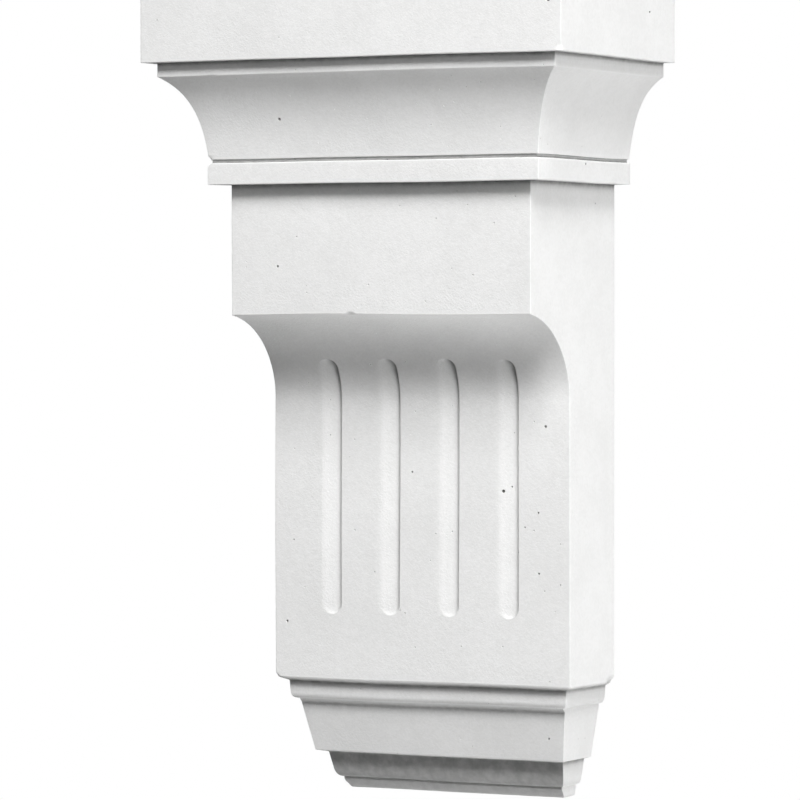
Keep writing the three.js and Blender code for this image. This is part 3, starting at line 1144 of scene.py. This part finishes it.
def lay_floor(studio):
    """A square grid, flat, at the floor's level. It throws no light back at the corbel."""
    line = np.linspace(-studio.floor_span / 2, studio.floor_span / 2, 25)
    x, y = np.meshgrid(line, line)
    points = np.stack([x, y, np.full_like(x, studio.floor_level)], axis=-1).reshape(-1, 3)
    grid = np.arange(x.size).reshape(x.shape)
    quads = np.stack([grid[:-1, :-1], grid[:-1, 1:], grid[1:, 1:], grid[1:, :-1]], axis=-1).reshape(-1, 4)
    floor = new_piece("studio_floor", points, quads, np.zeros((0, 3), int))
    floor.data.materials.append(floor_material(studio))
    floor.visible_diffuse = False
    floor.visible_glossy = False


# A lamp: its name, its turn to the right of the face and its rise in degrees, its distance from the corbel's
# middle and the width of its square in metres, the angle that it shines into and its power in watts
LAMPS = (
    ("key", 30.0, 36.0, 3.0, 0.7, 140.0, 35.5),
    ("high_key", 28.0, 50.0, 2.6, 0.65, 140.0, 14.3),
    ("low_fill", 60.0, -75.0, 1.6, 0.8, 120.0, 12.0),
    ("side_fill", 108.0, -38.0, 2.0, 0.8, 120.0, 5.2),
    ("side_key", 75.0, 25.0, 2.2, 0.8, 120.0, 3.5),
    ("soft_side", 60.0, 10.0, 2.2, 0.8, 120.0, 4.0),
    ("left_fill", -115.0, 20.0, 2.2, 0.9, 90.0, 9.0),
    ("back_fill", 180.0, 25.0, 2.2, 0.9, 90.0, 7.5),
)


def soft_lamp(name, turn, rise, distance, width, spread, power, strength):
    """A square lamp that faces the corbel's middle and that the camera doesn't see."""
    lamp = bpy.data.lights.new(name, "AREA")
    lamp.shape = "SQUARE"
    lamp.size = width
    lamp.spread = math.radians(spread)
    lamp.energy = power * strength
    light = bpy.data.objects.new(name, lamp)
    turn, rise = math.radians(turn), math.radians(rise)
    way = Vector((math.sin(turn) * math.cos(rise), -math.cos(turn) * math.cos(rise), math.sin(rise)))
    light.location = (cad_low + cad_high) / 2 + way * distance
    light.rotation_euler = way.to_track_quat("Z", "Y").to_euler()
    light.visible_camera = False
    bpy.context.scene.collection.objects.link(light)


def white_room(scene, studio):
    """White to the camera, and nearly dark as light."""
    world = bpy.data.worlds.new("white_room")
    world.use_nodes = True
    scene.world = world
    world.node_tree.nodes.clear()
    nodes = Nodes(world.node_tree)
    white = (1.0, 1.0, 1.0, 1.0)
    light, seen = (
        nodes.add("Background", {"Color": white, "Strength": strength})["Background"]
        for strength in (studio.room_strength, 1.0)
    )
    to_camera = nodes.add("LightPath", {})["Is Camera Ray"]
    either = nodes.add("MixShader", {"Fac": to_camera, 1: light, 2: seen})["Shader"]
    nodes.add("OutputWorld", {"Surface": either})


class CORBEL_PT_panel(bpy.types.Panel):
    """Lists the steps and the settings"""

    bl_label = "Fluted corbel"
    bl_idname = "CORBEL_PT_panel"
    bl_space_type = "VIEW_3D"
    bl_region_type = "UI"
    bl_category = "Corbel"

    def draw(self, context):
        for step in STEPS:
            self.layout.operator(step.bl_idname)
        for name, kind in SETTINGS.items():
            box = self.layout.box()
            for setting in kind.__annotations__:
                box.prop(getattr(context.scene, name), setting)


STEPS = (CORBEL_OT_camera, CORBEL_OT_casting, CORBEL_OT_stage)
SETTINGS = {
    "corbel_cap": CapSizes,
    "corbel_shaft": ShaftSizes,
    "corbel_foot": FootSizes,
    "corbel_casting": CastingSizes,
    "corbel_finish": PlasterFinish,
    "corbel_studio": StudioSettings,
}
CLASSES = (*SETTINGS.values(), *STEPS, CORBEL_PT_panel)


def register():
    for kind in CLASSES:
        bpy.utils.register_class(kind)
    for name, kind in SETTINGS.items():
        setattr(bpy.types.Scene, name, bpy.props.PointerProperty(type=kind))


def unregister():
    for name in SETTINGS:
        delattr(bpy.types.Scene, name)
    for kind in reversed(CLASSES):
        bpy.utils.unregister_class(kind)


def main():
    register()
    bpy.ops.corbel.camera()
    bpy.ops.corbel.casting()
    bpy.ops.corbel.stage()


if __name__ == "__main__":
    main()
